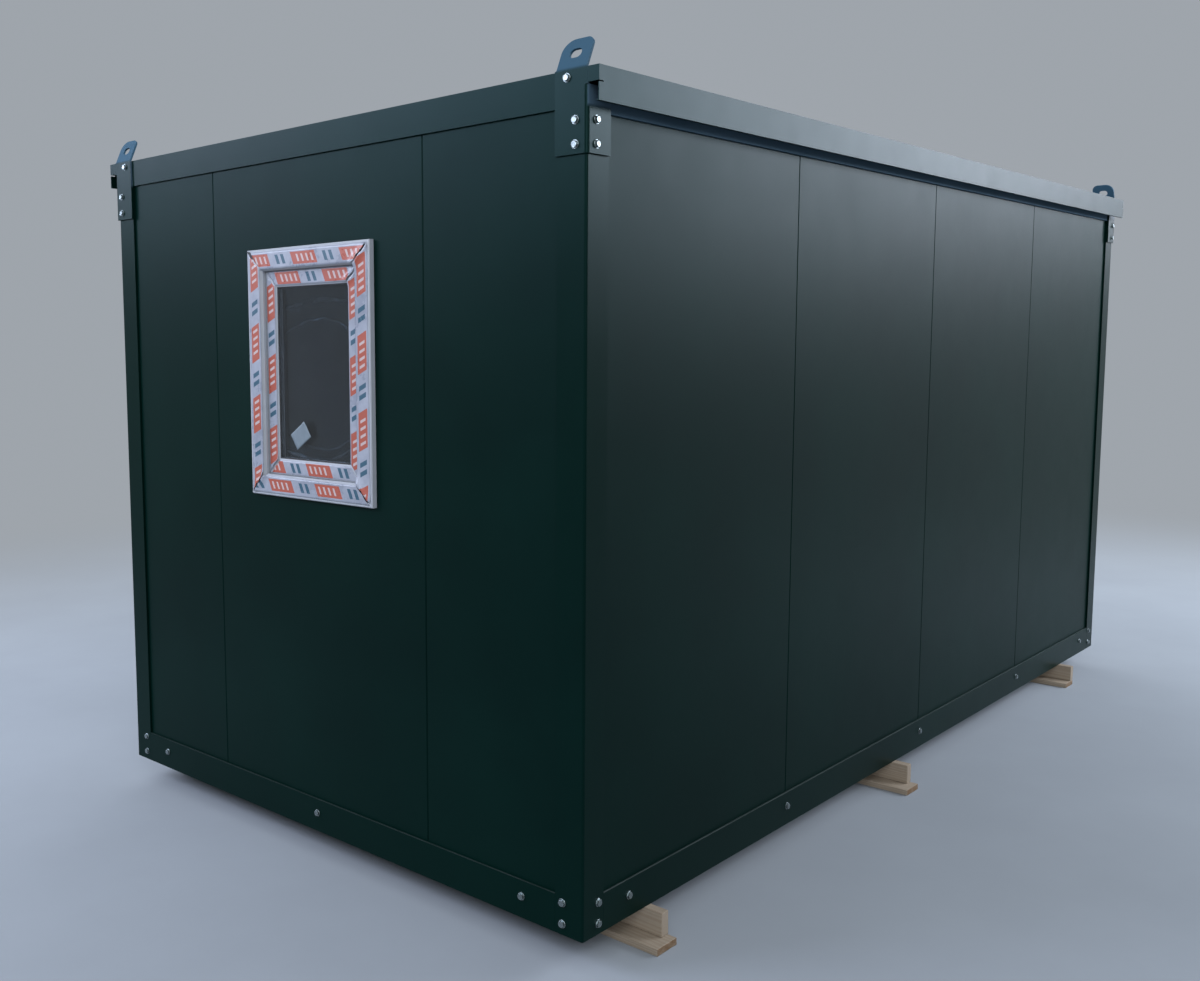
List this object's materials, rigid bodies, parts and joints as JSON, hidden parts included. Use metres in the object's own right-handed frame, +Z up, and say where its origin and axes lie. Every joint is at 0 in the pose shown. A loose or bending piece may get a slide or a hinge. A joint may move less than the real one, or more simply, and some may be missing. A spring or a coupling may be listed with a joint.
{
  "type": "portable site cabin",
  "caption": "Flat-roofed portable site cabin with a bolted steel frame, flat wall panels, overhanging eaves, lifting lugs and end windows, standing on timber bearers.",
  "frame": {"origin": "middle of the cabin's footprint, on the ground under the timber bearers", "axes": "+X along the cabin towards the right end, +Y across it towards the rear wall with the door, +Z up; the picture's corner is at -X, -Y"},
  "size_m": [4.916, 2.632, 2.7494],
  "materials": {
    "frame_paint": "satin dark green paint",
    "panel_paint": "satin dark green coil coating outside, white inside",
    "eaves_paint": "satin dark green paint",
    "door_paint": "satin dark green paint",
    "roof_zinc": "galvanised",
    "joist_steel": "galvanised",
    "inner_lining": "matt white",
    "floor_covering": "grey speckled vinyl",
    "window_plastic": "white extruded plastic with part of its protective film",
    "glazing": "clear double glazing",
    "handle_metal": "satin",
    "timber": "rough sawn softwood"
  },
  "bodies": {
    "root": {"post_front_left": "frame_paint", "post_front_right": "frame_paint", "post_rear_left": "frame_paint", "post_rear_right": "frame_paint", "corner_plate_front_left": "frame_paint", "corner_plate_front_right": "frame_paint", "corner_plate_rear_left": "frame_paint", "corner_plate_rear_right": "frame_paint", "bottom_rail_front": "frame_paint", "bottom_rail_rear": "frame_paint", "bottom_rail_left": "frame_paint", "bottom_rail_right": "frame_paint", "top_rail_front": "frame_paint", "top_rail_rear": "frame_paint", "top_rail_left": "frame_paint", "top_rail_right": "frame_paint", "eaves_front": "eaves_paint", "eaves_rear": "eaves_paint", "roof_sheet": "roof_zinc", "ceiling_board": "inner_lining", "floor_board": "floor_covering", "floor_joists": "joist_steel", "front_panel_1": "panel_paint", "front_panel_2": "panel_paint", "front_panel_3": "panel_paint", "front_panel_4": "panel_paint", "rear_panel_1": "panel_paint", "rear_panel_2": "panel_paint", "rear_door_panel": "panel_paint", "rear_panel_4": "panel_paint", "left_panel_front": "panel_paint", "left_window_panel": "panel_paint", "left_panel_rear": "panel_paint", "right_panel_front": "panel_paint", "right_window_panel": "panel_paint", "right_panel_rear": "panel_paint", "left_window_frame": "window_plastic", "left_window_sash": "window_plastic", "right_window_frame": "window_plastic", "right_window_sash": "window_plastic", "window_panes": "glazing", "door_frame": "door_paint", "door_leaf": "door_paint", "door_handles": "handle_metal", "bearer_boards": "timber", "bearer_planks": "timber"}
  },
  "joints": []
}
